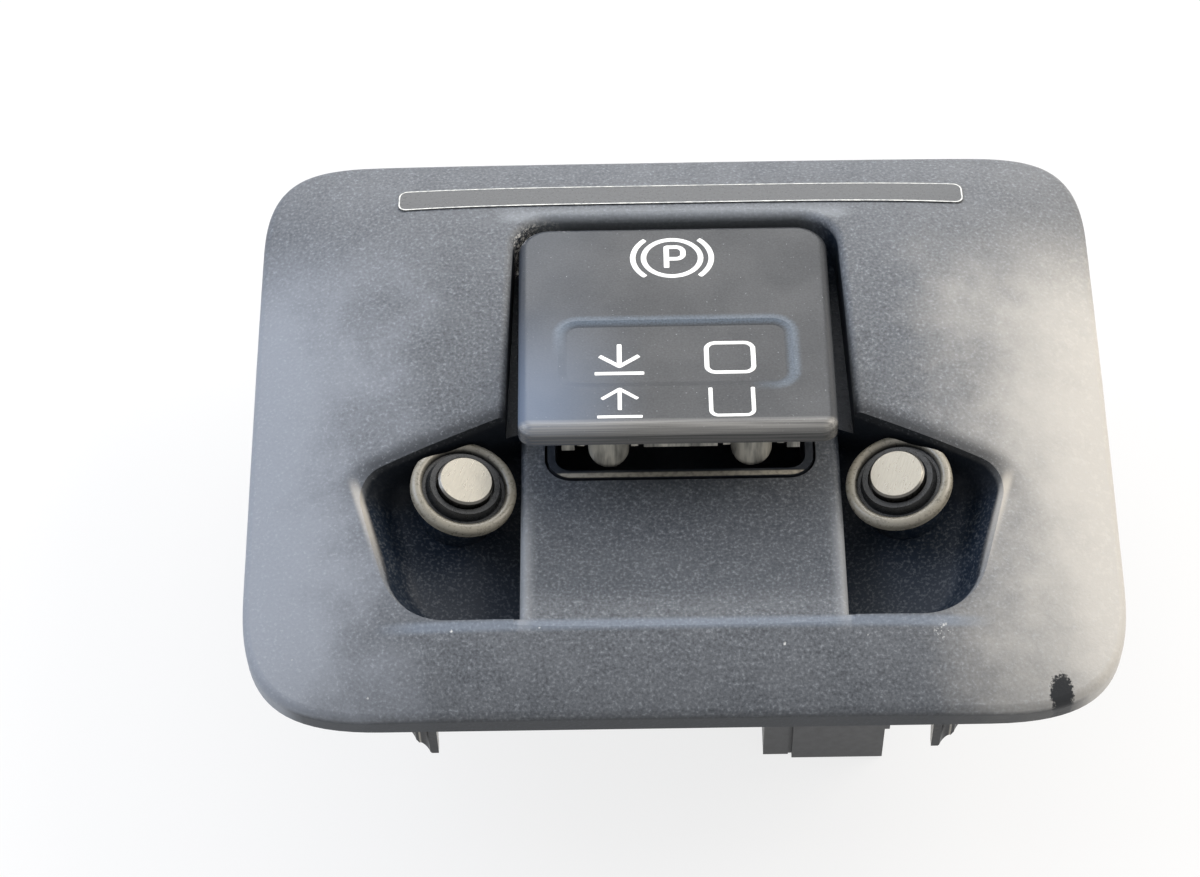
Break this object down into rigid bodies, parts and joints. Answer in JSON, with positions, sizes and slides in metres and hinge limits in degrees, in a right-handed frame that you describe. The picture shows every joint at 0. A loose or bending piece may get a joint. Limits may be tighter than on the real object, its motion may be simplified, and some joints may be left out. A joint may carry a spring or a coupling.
{
  "type": "parking brake switch",
  "caption": "Dashboard parking brake switch: crowned black bezel with a sprung push-pull paddle, a finger recess with expanding rivets, and a rear housing with a multi-way connector.",
  "frame": {"origin": "centre of the bezel's outline, on the plane that the rear cover rests on", "axes": "+X to the right seen from the front, +Y towards the bezel's top edge, +Z out of its face"},
  "size_m": [0.124, 0.097, 0.0521],
  "materials": {
    "bezel_plastic": "fine-grained soft-touch moulding",
    "label_film": "glossy film with a bare face",
    "paddle_plastic": "satin moulding, printed legends",
    "black_nylon": "glass-filled nylon, as moulded",
    "rivet_nylon": "smooth moulded nylon",
    "bright_head": "bare, scratched",
    "spring_steel": "bright drawn wire",
    "pin_steel": "ground",
    "screw_steel": "zinc plated",
    "tin_brass": "tin-plated brass",
    "board_laminate": "solder-masked laminate",
    "switch_case": "moulded",
    "plunger_acetal": "natural acetal"
  },
  "bodies": {
    "case": {"bezel": "bezel_plastic", "notice_label": "label_film", "pivot_pin": "pin_steel", "housing": "black_nylon", "housing_cover": "black_nylon", "connector_shell": "black_nylon", "terminal_pins": "tin_brass", "circuit_board": "board_laminate", "lock_spring": "spring_steel", "lock_switch": "switch_case", "release_spring": "spring_steel", "release_switch": "switch_case", "rivet_body_left": "rivet_nylon", "rivet_body_right": "rivet_nylon", "housing_screws": "screw_steel"},
    "paddle": {"paddle_cap": "paddle_plastic", "paddle_lever": "black_nylon"},
    "lock_plunger": {"lock_plunger": "plunger_acetal"},
    "release_plunger": {"release_plunger": "plunger_acetal"},
    "rivet_pin_left": {"rivet_pin_left": "bright_head"},
    "rivet_pin_right": {"rivet_pin_right": "bright_head"}
  },
  "joints": [
    {"name": "paddle_hinge", "type": "hinge", "parent": "case", "child": "paddle", "pos_m": [0, 0.02, 0.037], "axis": [1, 0, 0], "range_deg": [-12, 6], "stiffness_Nm_per_rad": 1.2},
    {"name": "lock_plunger_slide", "type": "slide", "parent": "case", "child": "lock_plunger", "axis": [0, 0, -1], "range_m": [-0.0022, 0.0011], "deforming": ["lock_spring"]},
    {"name": "release_plunger_slide", "type": "slide", "parent": "case", "child": "release_plunger", "axis": [0, 0, -1], "range_m": [-0.0007, 0.0014], "deforming": ["release_spring"]},
    {"name": "rivet_pin_left_slide", "type": "slide", "parent": "case", "child": "rivet_pin_left", "axis": [0.2079, 0, 0.9781], "range_m": [0, 0.006]},
    {"name": "rivet_pin_right_slide", "type": "slide", "parent": "case", "child": "rivet_pin_right", "axis": [-0.2079, 0, 0.9781], "range_m": [0, 0.006]}
  ],
  "couplings": [
    {"joint": "lock_plunger_slide", "follows": "paddle_hinge", "m_per_rad": 0.01},
    {"joint": "release_plunger_slide", "follows": "paddle_hinge", "m_per_rad": -0.0064}
  ]
}
